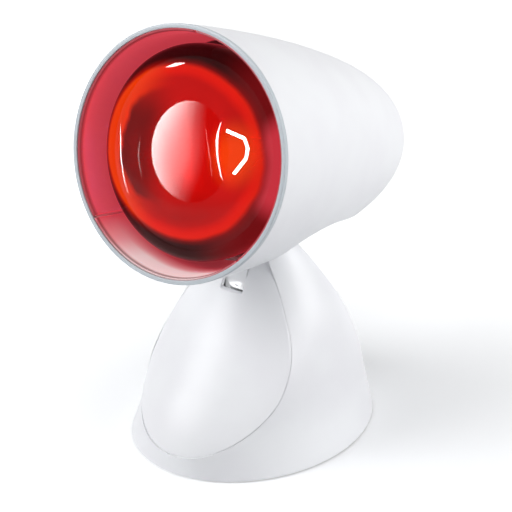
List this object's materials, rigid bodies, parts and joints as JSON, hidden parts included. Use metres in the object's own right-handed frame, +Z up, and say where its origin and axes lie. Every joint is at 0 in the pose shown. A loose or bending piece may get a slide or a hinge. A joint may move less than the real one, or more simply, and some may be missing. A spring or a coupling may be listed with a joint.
{
  "type": "infrared heat lamp",
  "caption": "Tabletop infrared heat lamp: a bullet-shaped shade with a red reflector bulb tilts on an egg-shaped foot.",
  "frame": {"origin": "centre of the foot's ring on the desk, on the lamp's mirror plane", "axes": "+Z up, the lamp faces -Y, +X to the right as seen from in front"},
  "size_m": [0.112, 0.1737, 0.2083],
  "materials": {
    "shade_plastic": "smooth satin white",
    "rim_plastic": "smooth cool grey",
    "liner_sheet": "matt reflector sheet",
    "fastener_steel": "bright zinc",
    "bracket_steel": "pressed sheet",
    "holder_body": "glazed off-white",
    "contact_brass": "plain",
    "cable_sheath": "matt",
    "red_glass": "deep red, clear front",
    "filament_metal": "dark wound wire",
    "support_wire": "bright wire",
    "stem_glass": "clear",
    "cap_metal": "plain",
    "cap_glass": "black insulator",
    "foot_plastic": "smooth satin white",
    "ballast_iron": "as cast",
    "bottom_plastic": "fine texture",
    "foot_rubber": "matt",
    "block_plastic": "plain",
    "gland_plastic": "plain"
  },
  "bodies": {
    "base": {"rear_shell": "foot_plastic", "front_panel": "foot_plastic", "hinge_bracket": "bracket_steel", "bracket_bolts": "fastener_steel", "ballast_plate": "ballast_iron", "ballast_screws": "fastener_steel", "bottom_plate": "bottom_plastic", "bottom_screws": "fastener_steel", "foot_ring": "foot_rubber", "hinge_pin": "bracket_steel", "hinge_nut": "fastener_steel", "hinge_washers": "fastener_steel", "detent_spring": "fastener_steel", "detent_ball": "fastener_steel", "terminal_block": "block_plastic", "terminal_screws": "contact_brass", "base_cable": "cable_sheath", "cable_clip": "block_plastic", "cord_gland": "gland_plastic"},
    "shade": {"shade_shell": "shade_plastic", "rim_ring": "rim_plastic", "liner_right": "liner_sheet", "liner_left": "liner_sheet", "liner_lower": "liner_sheet", "saddle_cover": "shade_plastic", "saddle_screws": "fastener_steel", "tilt_arm": "shade_plastic", "arm_screws": "fastener_steel", "holder_bracket": "bracket_steel", "bracket_screws": "fastener_steel", "lampholder": "holder_body", "holder_screws": "fastener_steel", "thread_shell": "contact_brass", "centre_contact": "contact_brass", "shade_cable": "cable_sheath"},
    "bulb": {"bulb_envelope": "red_glass", "bulb_filament": "filament_metal", "filament_supports": "support_wire", "bulb_stem": "stem_glass", "screw_cap": "cap_metal", "cap_insulator": "cap_glass", "tip_contact": "cap_metal"}
  },
  "joints": [
    {"name": "tilt", "type": "hinge", "parent": "base", "child": "shade", "pos_m": [0, 0.002, 0.082], "axis": [-1, 0, 0], "range_deg": [-12, 36]},
    {"name": "bulb_turn", "type": "hinge", "parent": "shade", "child": "bulb", "pos_m": [0, -0.05667, 0.15441], "axis": [0, -0.965, 0.2622], "range_deg": [0, 1800]}
  ]
}
